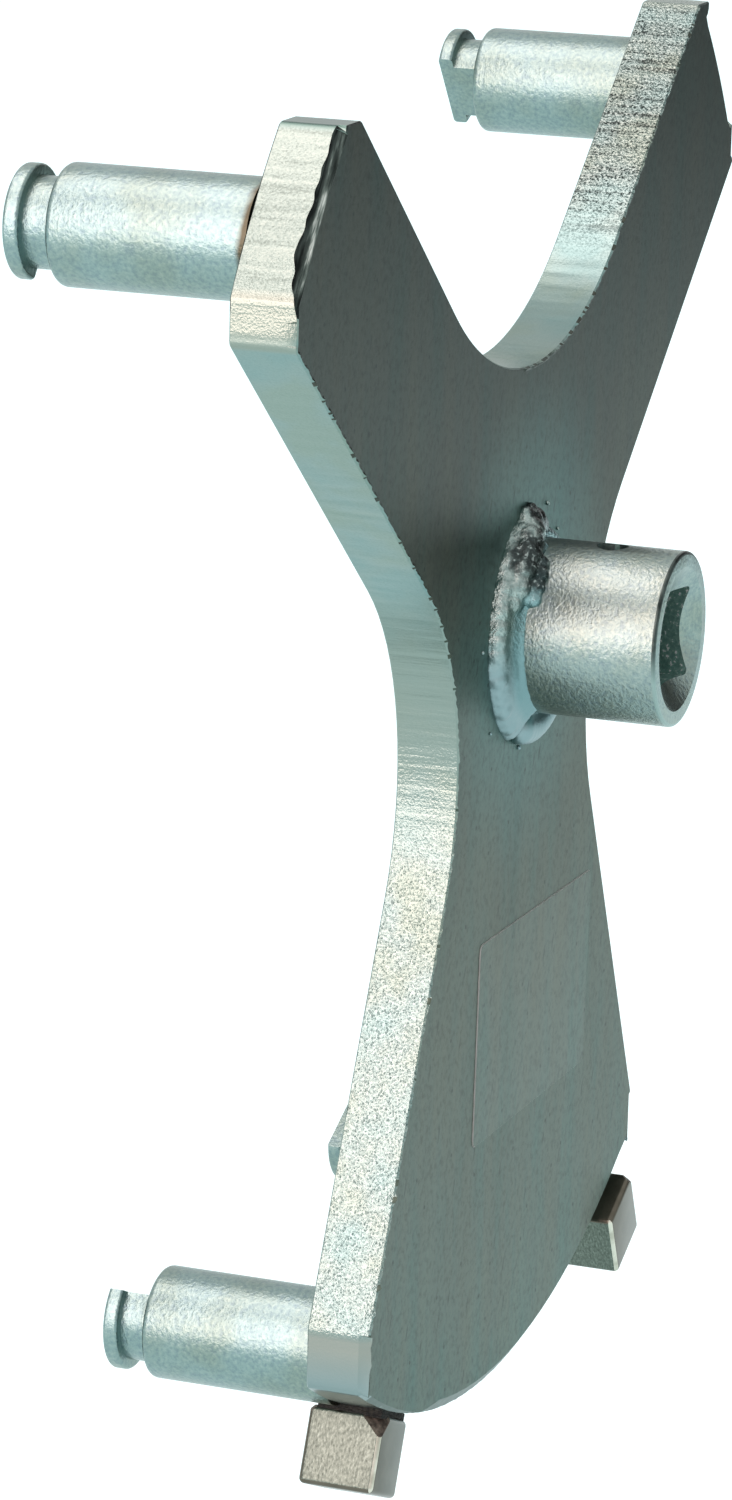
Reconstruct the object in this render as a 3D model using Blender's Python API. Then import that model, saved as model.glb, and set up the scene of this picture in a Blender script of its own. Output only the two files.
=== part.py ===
"""A fuel sender wrench: a notched steel plate with a square drive boss and four ring pins.

Metres, +Z up. The origin is on the drive axis at the plate's back face. +Y points out of
that face towards the pins, and +X is to the right for someone who looks at the boss.
"""

from math import atan2, ceil, copysign, cos, pi, radians, sin, sqrt, tan

import bmesh
import bpy
from mathutils import Matrix, Vector

# Touching pieces keep this gap, and cutters run past what they cut by the overrun.
FIT_GAP = 0.0003
OVERRUN = 0.002

# The plate is a disc with three notches. Its arms and its foot's sides are bands that run
# out from the drive axis, so their edges are parallel to lines through that axis. Straight
# cuts take a depth off the sharp corners: level ones at the arms' tops, upright ones at their
# outer corners and at the foot's. The rim's front edge is dressed by hand at a slope, which
# widens from the left side of the rim to the right.
PLATE_THICKNESS = 0.009
RIM_RADIUS = 0.113
ARM_ANGLE = radians(38.6)
ARM_HALF_WIDTH = 0.017
FOOT_ANGLE = radians(-63.75)
FOOT_EDGE_OFFSET = 0.0147
NOTCH_RADIUS = 0.0565
WAIST_RADIUS = 0.0372
ARM_CUT_DEPTH = 0.00245
FOOT_CUT_DEPTH = 0.00324
CORNER_RADIUS = 0.0012
EDGE_BREAK = 0.0003
EDGE_BREAK_ANGLE = radians(66)
DRESSED_DEPTH = 0.0015
DRESSED_WIDTH_LEFT = 0.0008
DRESSED_WIDTH_RIGHT = 0.0035
DRESSED_CUT_SHARE = 0.5
RIM_STEPS = 14
CORNER_STEPS = 3
HOLLOW_STEPS = 16

# Four pins stand on one circle, each turned from a bar and welded to the back face. They
# hang a little over the rim.
PIN_OVERHANG = 0.0005
LOWER_PIN_ANGLE = radians(-64.8)
PIN_DIAMETER = 0.016
PIN_BODY_LENGTH = 0.0274
PIN_SHOULDER_RADIUS = 0.0009
NECK_DIAMETER = 0.012
NECK_LENGTH = 0.0038
FLANGE_DIAMETER = 0.015
FLANGE_THICKNESS = 0.0022
FLANGE_EDGE_RADIUS = 0.0005
FLAT_OFFSET = 0.003
FLAT_RUNOUT = 0.0003
PIN_SIDES = 40
ROUND_STEPS = 3

# The boss takes a half-inch square drive, whose ball catches in the cross hole.
BOSS_DIAMETER = 0.025
BOSS_LENGTH = 0.0227
BOSS_EDGE_CHAMFER = 0.0005
SQUARE_ACROSS_FLATS = 0.0129
SQUARE_CORNER_RADIUS = 0.0009
SQUARE_DEPTH = 0.0165
MOUTH_DIAMETER = 0.0205
MOUTH_HALF_ANGLE = radians(60)
CROSS_HOLE_DIAMETER = 0.0045
CROSS_HOLE_FROM_MOUTH = 0.0105
BOSS_SIDES = 56
HOLE_SIDES = 20

# Fillet welds: the leg along the plate, the leg along what stands on it, and the stretch
# of arc, measured from +X towards +Z on the boss and from the hub's direction on a pin.
BOSS_BEAD_LEG = 0.0055
BOSS_BEAD_HEIGHT = 0.0043
BOSS_BEAD_LEFT_ARC = (radians(102), radians(244))
BOSS_BEAD_LOWER_ARC = (radians(249), radians(297))
BOSS_BEAD_RIGHT_ARC = (radians(302), radians(446))
PIN_BEAD_LEG = 0.0034
PIN_BEAD_HEIGHT = 0.003
PIN_BEAD_ARC = (radians(-80), radians(80))
BEAD_CROWN_SHARE = 0.55
RIPPLE_PITCH = 0.0028
RIPPLE_DEPTH_SHARE = 0.08
BEAD_END_SHARE = 0.35
BEAD_TAPER_SHARE = 0.07
BEAD_CROWN_STEPS = 5
RIPPLE_STEPS = 4

# The clear sticker on the foot's front face.
LABEL_WIDTH = 0.051
LABEL_HEIGHT = 0.030
LABEL_THICKNESS = 0.00012
LABEL_GAP = 0.00004
LABEL_X = 0.0078
LABEL_Z = -0.059
LABEL_TURN = radians(1.8)

# The cube magnets cling at the foot's corners, the left one to its pin's side and the right
# one to the rim. A broken corner shows on each.
MAGNET_SIDE = 0.0111
MAGNET_EDGE_RADIUS = 0.0007
MAGNET_LEFT_ANGLE = radians(-111.3)
MAGNET_LEFT_TURN = radians(3.2)
MAGNET_LEFT_Y = -0.0012
MAGNET_LEFT_CHIP = 0.0036
MAGNET_RIGHT_ANGLE = radians(-64)
MAGNET_RIGHT_TURN = radians(0.6)
MAGNET_RIGHT_Y = -0.0054
MAGNET_RIGHT_CHIP = 0.0018

PLATE_FRONT_Y = -PLATE_THICKNESS
PIN_CIRCLE_RADIUS = RIM_RADIUS + PIN_OVERHANG - PIN_DIAMETER / 2
BOSS_BASE_Y = PLATE_FRONT_Y - FIT_GAP
BOSS_MOUTH_Y = PLATE_FRONT_Y - BOSS_LENGTH
PIN_ANGLES = {
    "upper_left": pi - ARM_ANGLE,
    "upper_right": ARM_ANGLE,
    "lower_left": pi - LOWER_PIN_ANGLE,
    "lower_right": LOWER_PIN_ANGLE,
}


def clear_scene():
    """Remove whatever the open file holds."""
    for found in list(bpy.data.objects):
        bpy.data.objects.remove(found, do_unlink=True)


def make_material(name, colour, metallic, roughness):
    """A Principled material with one colour."""
    material = bpy.data.materials.new(name)
    material.use_nodes = True
    shader = material.node_tree.nodes["Principled BSDF"]
    shader.inputs["Base Color"].default_value = (*colour, 1.0)
    shader.inputs["Metallic"].default_value = metallic
    shader.inputs["Roughness"].default_value = roughness
    material.diffuse_color = (*colour, 1.0)
    return material


def make_object(name, mesh_bm, material, smooth_angle=radians(35)):
    """Turn a bmesh into a linked object with outward faces."""
    bmesh.ops.recalc_face_normals(mesh_bm, faces=mesh_bm.faces)
    mesh = bpy.data.meshes.new(name)
    mesh_bm.to_mesh(mesh)
    mesh_bm.free()
    mesh.shade_smooth()
    mesh.set_sharp_from_angle(angle=smooth_angle)
    made = bpy.data.objects.new(name, mesh)
    bpy.context.scene.collection.objects.link(made)
    if material is not None:
        made.data.materials.append(material)
    return made


def make_cutter(name, mesh_bm, owner):
    """A wire-only object that a Boolean takes out of its owner."""
    cutter = make_object(name, mesh_bm, None)
    cutter.parent = owner
    cutter.hide_render = True
    cutter.display_type = "WIRE"
    cut = owner.modifiers.new(name, "BOOLEAN")
    cut.operation = "DIFFERENCE"
    cut.solver = "EXACT"
    cut.object = cutter
    return cutter


def box_mesh(size, centre, turn=Matrix.Identity(3)):
    """A box of the given size, turned about its centre."""
    box = bmesh.new()
    place = Matrix.Translation(centre) @ turn.to_4x4() @ Matrix.Diagonal((*size, 1.0))
    bmesh.ops.create_cube(box, size=1.0, matrix=place)
    return box


def turned_mesh(profile, sides):
    """Turn a profile of (radius, y) points, from the axis back to the axis, about Y."""
    turned = bmesh.new()
    points = [turned.verts.new((radius, y, 0.0)) for radius, y in profile]
    edges = [turned.edges.new(pair) for pair in zip(points, points[1:])]
    bmesh.ops.spin(
        turned, geom=points + edges, cent=(0.0, 0.0, 0.0), axis=(0.0, 1.0, 0.0), angle=2 * pi,
        steps=sides, use_merge=True,
    )
    bmesh.ops.remove_doubles(turned, verts=turned.verts, dist=FIT_GAP / 100)
    return turned


def quarter_round(corner, radius, start):
    """Points of a quarter circle in a profile, from its start angle, a quarter turn on."""
    angles = [start + pi / 2 * step / ROUND_STEPS for step in range(ROUND_STEPS + 1)]
    return [(corner[0] + radius * cos(angle), corner[1] + radius * sin(angle)) for angle in angles]


def band_axes(angle):
    """Unit vectors along and across a band that runs out from the drive axis."""
    return Vector((cos(angle), sin(angle))), Vector((-sin(angle), cos(angle)))


def sharp_corner(angle, offset):
    """Where a straight edge, at a signed offset, would meet the rim."""
    along, across = band_axes(angle)
    return along * sqrt(RIM_RADIUS**2 - offset**2) + across * offset


def rim_corner(angle, offset):
    """Centre of the round between a straight edge, at a signed offset, and the rim."""
    along, across = band_axes(angle)
    inside = offset - copysign(CORNER_RADIUS, offset)
    return along * sqrt((RIM_RADIUS - CORNER_RADIUS) ** 2 - inside**2) + across * inside


def between_edges(first, second, radius):
    """Centre of the round between two straight edges, each an angle and a signed offset.

    The radius is positive in a hollow and negative at a corner.
    """
    rows = Matrix([band_axes(angle)[1] for angle, _ in (first, second)])
    reach = Vector([offset + copysign(1.0, offset) * radius for _, offset in (first, second)])
    return rows.inverted() @ reach


def arc(centre, radius, start, end, steps):
    """Points of an arc in the plate's plane, both ends included."""
    angles = [start + (end - start) * step / steps for step in range(steps + 1)]
    return [centre + radius * Vector((cos(angle), sin(angle))) for angle in angles]


def direction(vector):
    """Angle of a vector in the plate's plane."""
    return atan2(vector.y, vector.x)


def right_outline():
    """The plate's right half, from the rim's lowest point up to the middle of the fork.

    Each entry is a point, the way inwards from it, and how far its front edge is dressed.
    """
    foot_edge = (FOOT_ANGLE, FOOT_EDGE_OFFSET)
    foot_cut = (-pi / 2, sharp_corner(*foot_edge).x - FOOT_CUT_DEPTH)
    outer_edge = (ARM_ANGLE, -ARM_HALF_WIDTH)
    outer_cut = (pi / 2, ARM_CUT_DEPTH - sharp_corner(*outer_edge).x)
    inner_edge = (ARM_ANGLE, ARM_HALF_WIDTH)
    inner_cut = (0.0, sharp_corner(*inner_edge).y - ARM_CUT_DEPTH)
    across_foot = direction(band_axes(FOOT_ANGLE)[1])
    across_arm = direction(band_axes(ARM_ANGLE)[1])
    hub = Vector((0.0, 0.0))
    foot_tip = rim_corner(*foot_cut)
    outer_tip = rim_corner(*outer_cut)
    inner_tip = rim_corner(*inner_cut)
    foot_shoulder = between_edges(foot_cut, foot_edge, -CORNER_RADIUS)
    outer_shoulder = between_edges(outer_edge, outer_cut, -CORNER_RADIUS)
    inner_shoulder = between_edges(inner_cut, inner_edge, -CORNER_RADIUS)
    waist = between_edges(foot_edge, outer_edge, WAIST_RADIUS)
    notch = between_edges(inner_edge, (pi - ARM_ANGLE, -ARM_HALF_WIDTH), NOTCH_RADIUS)
    plain, dressed, fading = (0.0, 0.0), (1.0, 1.0), (1.0, 0.0)
    to_cut, from_cut = (DRESSED_CUT_SHARE, 0.0), (DRESSED_CUT_SHARE, 1.0)
    stretches = [
        (hub, RIM_RADIUS, -pi / 2, direction(foot_tip), RIM_STEPS, dressed),
        (foot_tip, CORNER_RADIUS, direction(foot_tip), 0.0, CORNER_STEPS, from_cut[::-1]),
        (foot_shoulder, CORNER_RADIUS, 0.0, across_foot, CORNER_STEPS, to_cut),
        (waist, WAIST_RADIUS, across_foot + pi, across_arm, HOLLOW_STEPS, plain),
        (outer_shoulder, CORNER_RADIUS, across_arm - pi, 0.0, CORNER_STEPS, to_cut[::-1]),
        (outer_tip, CORNER_RADIUS, 0.0, direction(outer_tip), CORNER_STEPS, from_cut),
        (hub, RIM_RADIUS, direction(outer_tip), direction(inner_tip), RIM_STEPS, dressed),
        (inner_tip, CORNER_RADIUS, direction(inner_tip), pi / 2, CORNER_STEPS, fading),
        (inner_shoulder, CORNER_RADIUS, pi / 2, across_arm, CORNER_STEPS, plain),
        (notch, NOTCH_RADIUS, across_arm - pi, -pi / 2, HOLLOW_STEPS, plain),
    ]
    outline = []
    for centre, radius, start, end, steps, (first, last) in stretches:
        for step, point in enumerate(arc(centre, radius, start, end, steps)):
            if outline and (point - outline[-1][0]).length < FIT_GAP:
                continue
            share = first + (last - first) * step / steps
            outline.append((point, (centre - point).normalized(), share))
    return outline


def make_plate(material):
    """The notched plate, with the rim's front edge dressed at a slope."""
    right = right_outline()
    mirrored = [
        (Vector((-point.x, point.y)), Vector((-inward.x, inward.y)), share)
        for point, inward, share in reversed(right[1:-1])
    ]
    outline = right + mirrored
    plate = bmesh.new()
    dressed_y = PLATE_FRONT_Y + DRESSED_DEPTH
    back = [plate.verts.new((point.x, 0.0, point.y)) for point, _, _ in outline]
    middle = [plate.verts.new((point.x, dressed_y, point.y)) for point, _, _ in outline]
    front = []
    for point, inward, share in outline:
        across = (point.x / RIM_RADIUS + 1) / 2
        width = DRESSED_WIDTH_LEFT + (DRESSED_WIDTH_RIGHT - DRESSED_WIDTH_LEFT) * across
        moved = point + inward * width * share
        front.append(plate.verts.new((moved.x, PLATE_FRONT_Y, moved.y)))
    plate.faces.new(back)
    plate.faces.new(front)
    for lower, upper in ((back, middle), (middle, front)):
        for here in range(len(outline)):
            there = (here + 1) % len(outline)
            plate.faces.new((lower[here], lower[there], upper[there], upper[here]))
    made = make_object("wrench_plate", plate, material)
    bevel = made.modifiers.new("edge break", "BEVEL")
    bevel.width = EDGE_BREAK
    bevel.segments = 1
    bevel.limit_method = "ANGLE"
    bevel.angle_limit = EDGE_BREAK_ANGLE
    return made


def pin_profile():
    """A pin's turned profile, from its welded base out to its end flange."""
    body, neck, flange = PIN_DIAMETER / 2, NECK_DIAMETER / 2, FLANGE_DIAMETER / 2
    shoulder_y = PIN_BODY_LENGTH
    flange_y = shoulder_y + NECK_LENGTH
    end_y = flange_y + FLANGE_THICKNESS
    body_in = body - PIN_SHOULDER_RADIUS
    flange_in = flange - FLANGE_EDGE_RADIUS
    return [
        (0.0, FIT_GAP),
        (body, FIT_GAP),
        *quarter_round((body_in, shoulder_y - PIN_SHOULDER_RADIUS), PIN_SHOULDER_RADIUS, 0.0),
        (neck, shoulder_y),
        (neck, flange_y),
        (flange_in, flange_y),
        (flange, flange_y + FLANGE_EDGE_RADIUS),
        *quarter_round((flange_in, end_y - FLANGE_EDGE_RADIUS), FLANGE_EDGE_RADIUS, 0.0),
        (0.0, end_y),
    ]


def make_pin(place_name, material):
    """One pin, with a flat milled on its neck and flange towards the drive axis.

    The flat runs out a little short of the shoulder.
    """
    pin = make_object("pin_" + place_name, turned_mesh(pin_profile(), PIN_SIDES), material)
    angle = PIN_ANGLES[place_name]
    pin.location = (PIN_CIRCLE_RADIUS * cos(angle), 0.0, PIN_CIRCLE_RADIUS * sin(angle))
    # The pin's own -X is turned towards the drive axis, and Blender's Y turns run from Z to X.
    pin.rotation_euler = (0.0, -angle, 0.0)
    cut_depth = FLANGE_DIAMETER / 2 - FLAT_OFFSET + OVERRUN
    cut_length = NECK_LENGTH + FLANGE_THICKNESS + OVERRUN
    size = (cut_depth, cut_length, FLANGE_DIAMETER + OVERRUN)
    centre = (-FLAT_OFFSET - cut_depth / 2, PIN_BODY_LENGTH + FLAT_RUNOUT + cut_length / 2, 0.0)
    make_cutter("flat_cutter_" + place_name, box_mesh(size, centre), pin)
    return pin


def make_boss(material):
    """The drive boss: a turned barrel with a countersunk square hole and a cross hole."""
    radius = BOSS_DIAMETER / 2
    profile = [
        (0.0, BOSS_BASE_Y),
        (radius, BOSS_BASE_Y),
        (radius, BOSS_MOUTH_Y + BOSS_EDGE_CHAMFER),
        (radius - BOSS_EDGE_CHAMFER, BOSS_MOUTH_Y),
        (0.0, BOSS_MOUTH_Y),
    ]
    boss = make_object("drive_socket", turned_mesh(profile, BOSS_SIDES), material)

    square_length = SQUARE_DEPTH + OVERRUN
    square_size = (SQUARE_ACROSS_FLATS, square_length, SQUARE_ACROSS_FLATS)
    square_centre = (0.0, BOSS_MOUTH_Y + SQUARE_DEPTH - square_length / 2, 0.0)
    square = box_mesh(square_size, square_centre)
    long_edges = [edge for edge in square.edges if edge.calc_length() > SQUARE_DEPTH]
    bmesh.ops.bevel(
        square, geom=long_edges, offset=SQUARE_CORNER_RADIUS, offset_type="OFFSET", segments=ROUND_STEPS,
        profile=0.5, affect="EDGES",
    )
    make_cutter("square_cutter", square, boss)

    mouth_radius = MOUTH_DIAMETER / 2
    cone_profile = [
        (0.0, BOSS_MOUTH_Y - OVERRUN),
        (mouth_radius + OVERRUN * tan(MOUTH_HALF_ANGLE), BOSS_MOUTH_Y - OVERRUN),
        (0.0, BOSS_MOUTH_Y + mouth_radius / tan(MOUTH_HALF_ANGLE)),
    ]
    make_cutter("mouth_cutter", turned_mesh(cone_profile, BOSS_SIDES), boss)

    hole = bmesh.new()
    hole_y = BOSS_MOUTH_Y + CROSS_HOLE_FROM_MOUTH
    hole_length = radius + OVERRUN
    place = Matrix.Translation((0.0, hole_y, hole_length / 2))
    bmesh.ops.create_cone(
        hole, cap_ends=True, segments=HOLE_SIDES, radius1=CROSS_HOLE_DIAMETER / 2,
        radius2=CROSS_HOLE_DIAMETER / 2, depth=hole_length, matrix=place,
    )
    make_cutter("cross_hole_cutter", hole, boss)
    return boss


def bead_mesh(seat_radius, leg, height, stretch):
    """A rippled fillet bead around a round bar that stands on a face, about Y from y 0 up."""
    start, end = stretch
    length = (end - start) * (seat_radius + leg / 2)
    ripples = ceil(length / RIPPLE_PITCH)
    steps = ripples * RIPPLE_STEPS
    bead = bmesh.new()
    rings = []
    for step in range(steps + 1):
        share = step / steps
        to_end = min(share, 1.0 - share) / BEAD_TAPER_SHARE
        taper = BEAD_END_SHARE + (1.0 - BEAD_END_SHARE) * sin(pi / 2 * min(1.0, to_end))
        ripple = 1.0 - RIPPLE_DEPTH_SHARE * cos(pi * ripples * share) ** 2
        angle = start + (end - start) * share
        section = [(seat_radius + FIT_GAP, FIT_GAP)]
        for crown in range(BEAD_CROWN_STEPS + 1):
            turn = pi / 2 * crown / BEAD_CROWN_STEPS
            chord = crown / BEAD_CROWN_STEPS
            out_share = BEAD_CROWN_SHARE * cos(turn) + (1.0 - BEAD_CROWN_SHARE) * (1.0 - chord)
            up_share = BEAD_CROWN_SHARE * sin(turn) + (1.0 - BEAD_CROWN_SHARE) * chord
            outward = FIT_GAP + (leg - FIT_GAP) * taper * ripple * out_share
            upward = FIT_GAP + (height - FIT_GAP) * taper * ripple * up_share
            section.append((seat_radius + outward, upward))
        rings.append([bead.verts.new((out * cos(angle), up, out * sin(angle))) for out, up in section])
    for before, after in zip(rings, rings[1:]):
        for here in range(len(before)):
            there = (here + 1) % len(before)
            bead.faces.new((before[here], before[there], after[there], after[here]))
    bead.faces.new(rings[0])
    bead.faces.new(rings[-1])
    return bead


def make_boss_bead(name, stretch, material):
    """A bead around the boss, mirrored in Y so that it rises from the front face."""
    bead = bead_mesh(BOSS_DIAMETER / 2, BOSS_BEAD_LEG, BOSS_BEAD_HEIGHT, stretch)
    bmesh.ops.scale(bead, vec=(1.0, -1.0, 1.0), verts=bead.verts)
    bmesh.ops.translate(bead, vec=(0.0, PLATE_FRONT_Y, 0.0), verts=bead.verts)
    return make_object(name, bead, material)


def make_pin_bead(place_name, material):
    """A bead on the hub's side of a pin's base."""
    bead = bead_mesh(PIN_DIAMETER / 2, PIN_BEAD_LEG, PIN_BEAD_HEIGHT, PIN_BEAD_ARC)
    made = make_object("pin_weld_" + place_name, bead, material)
    angle = PIN_ANGLES[place_name]
    made.location = (PIN_CIRCLE_RADIUS * cos(angle), 0.0, PIN_CIRCLE_RADIUS * sin(angle))
    made.rotation_euler = (0.0, -angle - pi, 0.0)
    return made


def make_label(material):
    """The clear sticker, a thin sheet that lies a little clear of the front face."""
    size = (LABEL_WIDTH, LABEL_THICKNESS, LABEL_HEIGHT)
    label = make_object("label_film", box_mesh(size, (0.0, 0.0, 0.0)), material)
    y = PLATE_FRONT_Y - LABEL_GAP - LABEL_THICKNESS / 2
    label.location = (LABEL_X, y, LABEL_Z)
    label.rotation_euler = (0.0, LABEL_TURN, 0.0)
    return label


def make_magnet(name, seat_radius, angle, turn, y, chip_side, chip_size, material):
    """A cube magnet seated at an angle, turned from square to the rim, with a broken corner.

    Its own +Z points at the plate. The corner of it that comes nearest is a fit gap away.
    """
    half = MAGNET_SIDE / 2
    centre_radius = seat_radius + FIT_GAP + half * (cos(turn) + abs(sin(turn)))
    magnet = make_object(name, box_mesh((MAGNET_SIDE,) * 3, (0.0, 0.0, 0.0)), material)
    magnet.location = (centre_radius * cos(angle), y, centre_radius * sin(angle))
    magnet.rotation_euler = (0.0, turn - pi / 2 - angle, 0.0)
    bevel = magnet.modifiers.new("rounded edges", "BEVEL")
    bevel.width = MAGNET_EDGE_RADIUS
    bevel.segments = ROUND_STEPS
    corner = Vector((chip_side * half, -half, half))
    slope = corner.normalized().to_track_quat("Z", "Y").to_matrix()
    reach = chip_size / sqrt(3)
    thickness = reach + OVERRUN
    centre = corner + corner.normalized() * (thickness / 2 - reach)
    chip = box_mesh((MAGNET_SIDE, MAGNET_SIDE, thickness), centre, slope)
    make_cutter("chip_cutter_" + name, chip, magnet)
    return magnet


def build():
    """Make every piece of the wrench."""
    clear_scene()
    plate_zinc = make_material("plate_zinc", (0.36, 0.45, 0.44), 1.0, 0.42)
    turned_zinc = make_material("turned_zinc", (0.55, 0.63, 0.62), 1.0, 0.32)
    weld_zinc = make_material("weld_zinc", (0.48, 0.54, 0.53), 1.0, 0.45)
    film = make_material("clear_film", (0.40, 0.50, 0.49), 0.0, 0.25)
    nickel = make_material("nickel", (0.50, 0.48, 0.44), 1.0, 0.3)
    make_plate(plate_zinc)
    make_boss(turned_zinc)
    make_boss_bead("socket_weld_left", BOSS_BEAD_LEFT_ARC, weld_zinc)
    make_boss_bead("socket_weld_lower", BOSS_BEAD_LOWER_ARC, weld_zinc)
    make_boss_bead("socket_weld_right", BOSS_BEAD_RIGHT_ARC, weld_zinc)
    for place_name in PIN_ANGLES:
        make_pin(place_name, turned_zinc)
        make_pin_bead(place_name, weld_zinc)
    make_label(film)
    make_magnet(
        "magnet_left", RIM_RADIUS + PIN_OVERHANG, MAGNET_LEFT_ANGLE, MAGNET_LEFT_TURN,
        MAGNET_LEFT_Y, -1, MAGNET_LEFT_CHIP, nickel,
    )
    make_magnet(
        "magnet_right", RIM_RADIUS, MAGNET_RIGHT_ANGLE, MAGNET_RIGHT_TURN,
        MAGNET_RIGHT_Y, 1, MAGNET_RIGHT_CHIP, nickel,
    )
    bpy.context.view_layer.update()


build()
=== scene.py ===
"""A fuel sender wrench of zinc plated steel, standing on a pale floor."""

from math import cos, hypot, pi, radians, sin

import bmesh
import bpy
from mathutils import Matrix, Vector, noise


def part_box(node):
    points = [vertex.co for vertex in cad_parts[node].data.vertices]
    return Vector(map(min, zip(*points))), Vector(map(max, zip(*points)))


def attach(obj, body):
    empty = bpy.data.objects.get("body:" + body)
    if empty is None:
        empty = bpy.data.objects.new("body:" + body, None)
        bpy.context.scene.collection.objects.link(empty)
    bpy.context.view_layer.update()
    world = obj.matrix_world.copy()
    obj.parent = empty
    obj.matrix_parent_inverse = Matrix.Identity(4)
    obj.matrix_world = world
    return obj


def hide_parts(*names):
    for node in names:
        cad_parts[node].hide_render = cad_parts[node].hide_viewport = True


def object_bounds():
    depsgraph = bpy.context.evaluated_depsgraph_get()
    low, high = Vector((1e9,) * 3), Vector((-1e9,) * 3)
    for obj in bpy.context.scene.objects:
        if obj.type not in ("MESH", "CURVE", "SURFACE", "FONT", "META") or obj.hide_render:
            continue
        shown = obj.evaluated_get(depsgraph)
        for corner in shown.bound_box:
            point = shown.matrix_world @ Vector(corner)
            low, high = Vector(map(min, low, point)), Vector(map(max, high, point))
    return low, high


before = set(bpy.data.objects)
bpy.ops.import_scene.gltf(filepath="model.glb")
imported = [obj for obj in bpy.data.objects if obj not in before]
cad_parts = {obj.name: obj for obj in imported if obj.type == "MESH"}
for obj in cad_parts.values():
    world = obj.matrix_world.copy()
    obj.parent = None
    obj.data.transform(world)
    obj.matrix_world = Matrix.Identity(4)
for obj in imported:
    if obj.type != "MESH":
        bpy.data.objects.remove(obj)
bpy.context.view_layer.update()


# The plate is laser-cut from 9 mm rolled sheet, zinc plated and passivated blue. The beam
# leaves ridges across the cut sides and a ragged burr along their front edge, and a hand
# grinder has taken the rim's front edge down at a slope.
merge_reach, squarely, nearly = 0.000004, 0.9999, 0.00005


def select_only(piece):
    """Selects a piece alone and makes it the active one."""
    bpy.ops.object.select_all(action="DESELECT")
    piece.select_set(True)
    bpy.context.view_layer.objects.active = piece


def new_object(name, data):
    """An object with this data, in the scene."""
    made = bpy.data.objects.new(name, data)
    bpy.context.scene.collection.objects.link(made)
    return made


def merged_copy(node_name, piece_name):
    """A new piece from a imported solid's mesh, its loose triangles merged, open in edit mode."""
    piece = new_object(piece_name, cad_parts[node_name].data.copy())
    piece.data.materials.clear()
    select_only(piece)
    bpy.ops.object.mode_set(mode="EDIT")
    bpy.ops.mesh.select_all(action="SELECT")
    bpy.ops.mesh.remove_doubles(threshold=merge_reach)
    bpy.ops.mesh.customdata_custom_splitnormals_clear()
    return piece


def pick(piece, kind, wanted):
    """Selects only the faces, edges or verts that pass a test, and says how many there are."""
    bpy.ops.mesh.select_mode(type=kind)
    bpy.ops.mesh.select_all(action="DESELECT")
    mesh = bmesh.from_edit_mesh(piece.data)
    parts = {"FACE": mesh.faces, "EDGE": mesh.edges, "VERT": mesh.verts}[kind]
    chosen = [part for part in parts if wanted(part)]
    for part in chosen:
        part.select_set(True)
    bmesh.update_edit_mesh(piece.data)
    return len(chosen)


def along_y(edge):
    return abs(edge.verts[0].co.y - edge.verts[1].co.y) > 0.8 * edge.calc_length()


plate_front, plate_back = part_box("wrench_plate")[0].y, 0.0
ridge_step, side_length, side_rows, burr_foot, cap_step = 0.0006, 0.004, 7, 0.0004, 0.0087
plate = merged_copy("wrench_plate", "plate")
pick(plate, "FACE", lambda face: abs(face.normal.y) > squarely)
bpy.ops.mesh.delete(type="FACE")
bpy.ops.mesh.select_all(action="SELECT")
bpy.ops.mesh.tris_convert_to_quads(face_threshold=radians(30), shape_threshold=radians(60))
while pick(plate, "EDGE", lambda edge: not along_y(edge) and edge.calc_length() > ridge_step):
    bpy.ops.mesh.subdivide(number_cuts=1)
pick(plate, "EDGE", lambda edge: along_y(edge) and edge.calc_length() > side_length)
bpy.ops.mesh.subdivide(number_cuts=side_rows)
for level in (plate_front, plate_back):
    pick(plate, "EDGE", lambda edge: edge.is_boundary and abs(edge.verts[0].co.y - level) < nearly)
    bpy.ops.mesh.edge_face_add()
bpy.ops.mesh.select_mode(type="FACE")
pick(plate, "FACE", lambda face: face.calc_area() > 0.001 and face.calc_center_median().y < -0.001)
bpy.ops.mesh.inset(thickness=burr_foot, use_even_offset=False)
for step in range(-12, 13):
    for across in ((1.0, 0.0, 0.0), (0.0, 0.0, 1.0)):
        bpy.ops.mesh.select_all(action="SELECT")
        bpy.ops.mesh.bisect(plane_co=Vector(across) * cap_step * step, plane_no=across)
bpy.ops.mesh.select_all(action="SELECT")
bpy.ops.mesh.remove_doubles(threshold=merge_reach)
bpy.ops.mesh.normals_make_consistent(inside=False)
bpy.ops.object.mode_set(mode="OBJECT")

# The ridges are about 1.3 mm apart and a few hundredths deep. They are strong where the beam
# ran slowly, at the waist and on the arms' ends and inner sides, and faint elsewhere. The
# burr stands forward of the front edge on the left of each limb. Over the left magnet the
# grinder missed the rim's edge, which is still nearly square. On the near arm its border
# wavers, and runs out at the arm's lower corner.
ridge_pitch, ridge_depth, ridge_room, ridge_margin, faint = 0.0013, 0.00007, 0.0015, 0.0004, 0.3
ridge_run, slow_patches, slow_above, waist_height, waist_reach = 90, 30, -0.05, 0.01, 0.02
burr_pitch, burr_height, burr_bias, burr_limit, burr_top = 0.0010, 0.0005, 0.12, 0.1095, 0.1
rim_radius, dressed_depth, dressed_least, dressed_growth = 0.113, 0.0015, 0.0008, 0.0027
missed_from, missed_to, missed_edge, missed_reach = -0.0595, -0.0370, 0.0004, 0.0035
missed_start, missed_fade = 0.0008, 0.008
border_from, near_arm_from, dressed_from, dressed_fade, least_share = 0.111, 0.058, 0.0585, 0.0060, 0.03
wave_pitch, wave_height, front_limit = 0.0028, 0.0009, plate_front + 0.00002


def clamped(value, least=0.0):
    return min(max(value, least), 1.0)


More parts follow.
